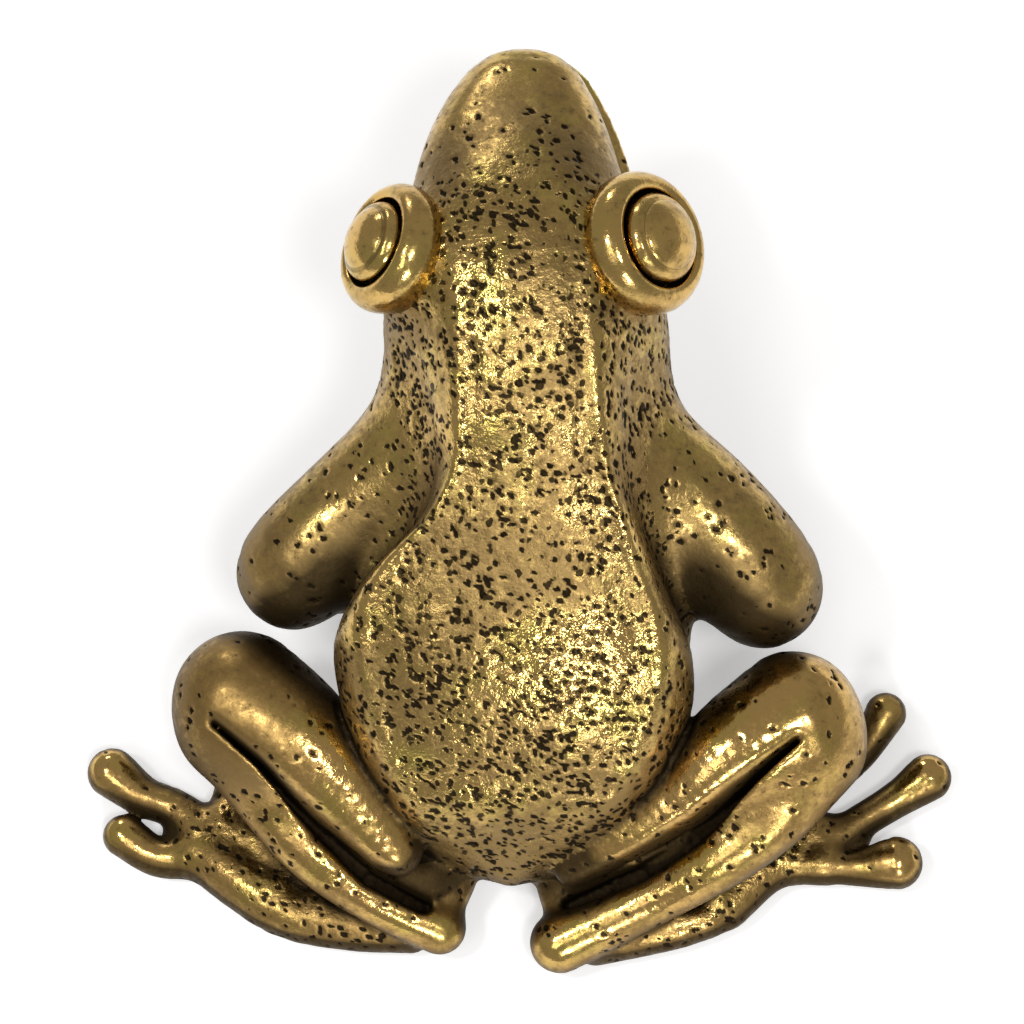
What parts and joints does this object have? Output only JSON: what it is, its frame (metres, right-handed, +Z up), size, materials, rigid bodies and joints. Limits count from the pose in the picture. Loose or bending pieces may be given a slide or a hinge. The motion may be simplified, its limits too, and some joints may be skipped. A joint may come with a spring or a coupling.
{
  "type": "frog figurine",
  "caption": "Miniature cast brass frog that crouches with its head raised, an ornament standing on its feet and belly, with pitted back and ringed eyes.",
  "frame": {"origin": "middle of the footprint, on the plane that the frog rests on", "axes": "+Z up, the frog faces -Y, and its left side is +X"},
  "size_m": [0.0326, 0.0313, 0.0181],
  "materials": {
    "antique_brass": "cast and antiqued, with dark patina in small pits and worn golden high spots",
    "rubbed_brass": "cast and antiqued, rubbed bright on the crests, with few pits",
    "eye_brass": "smooth and softly polished, with dark patina in the groove"
  },
  "bodies": {
    "root": {"body": "antique_brass", "left_foreleg": "antique_brass", "right_foreleg": "antique_brass", "left_hind_leg": "rubbed_brass", "right_hind_leg": "rubbed_brass", "left_hind_foot": "rubbed_brass", "right_hind_foot": "rubbed_brass", "left_eye_ring": "eye_brass", "right_eye_ring": "eye_brass", "left_eye_bead": "eye_brass", "right_eye_bead": "eye_brass"}
  },
  "joints": []
}
